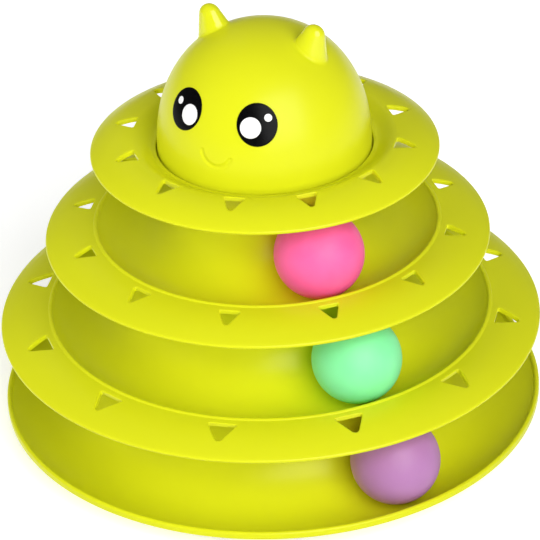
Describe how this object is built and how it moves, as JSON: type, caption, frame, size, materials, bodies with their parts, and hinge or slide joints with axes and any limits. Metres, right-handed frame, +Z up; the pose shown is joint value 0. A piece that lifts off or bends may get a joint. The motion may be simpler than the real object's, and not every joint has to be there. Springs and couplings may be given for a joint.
{
  "type": "cat ball track toy",
  "caption": "Round tower toy for cats: stacked ring tracks with windowed flanges, loose balls that run round them, and a domed cat's head with ears on top.",
  "frame": {"origin": "on the floor, at the middle of the round base, under the rubber pads", "axes": "+Z up along the tower's axis, -Y towards the front that the cat's face looks to, +X to the right seen from the front"},
  "size_m": [0.25, 0.25, 0.2033],
  "materials": {
    "lime_plastic": "glossy moulded polypropylene",
    "eye_black": "glossy printed film",
    "eye_white": "glossy white print",
    "purple_plastic": "satin moulded plastic",
    "mint_plastic": "satin moulded plastic",
    "pink_plastic": "satin moulded plastic",
    "pad_rubber": "matt"
  },
  "bodies": {
    "base": {"base_tray": "lime_plastic", "anti_slip_pad_1": "pad_rubber", "anti_slip_pad_2": "pad_rubber", "anti_slip_pad_3": "pad_rubber", "anti_slip_pad_4": "pad_rubber", "anti_slip_pad_5": "pad_rubber", "anti_slip_pad_6": "pad_rubber"},
    "middle": {"middle_tray": "lime_plastic"},
    "upper": {"upper_tray": "lime_plastic"},
    "ring": {"top_ring": "lime_plastic"},
    "head": {"cat_head": "lime_plastic", "left_eye_sticker": "eye_black", "right_eye_sticker": "eye_black", "left_eye_highlights": "eye_white", "right_eye_highlights": "eye_white"},
    "purple_ball": {"purple_ball": "purple_plastic"},
    "mint_ball": {"mint_ball": "mint_plastic"},
    "pink_ball": {"pink_ball": "pink_plastic"}
  },
  "joints": [
    {"name": "purple_ball_run", "type": "hinge", "parent": "base", "child": "purple_ball", "pos_m": [0, 0, 0.0262], "axis": [0, 0, 1], "continuous": true},
    {"name": "middle_tray_lift", "type": "slide", "parent": "base", "child": "middle", "axis": [0, 0, 1], "range_m": [0, 0.06]},
    {"name": "mint_ball_run", "type": "hinge", "parent": "middle", "child": "mint_ball", "pos_m": [0, 0, 0.06935], "axis": [0, 0, 1], "continuous": true},
    {"name": "upper_tray_lift", "type": "slide", "parent": "middle", "child": "upper", "axis": [0, 0, 1], "range_m": [0, 0.06]},
    {"name": "pink_ball_run", "type": "hinge", "parent": "upper", "child": "pink_ball", "pos_m": [0, 0, 0.1125], "axis": [0, 0, 1], "continuous": true},
    {"name": "top_ring_lift", "type": "slide", "parent": "upper", "child": "ring", "axis": [0, 0, 1], "range_m": [0, 0.06]},
    {"name": "head_lift", "type": "slide", "parent": "ring", "child": "head", "axis": [0, 0, 1], "range_m": [0, 0.04]}
  ]
}
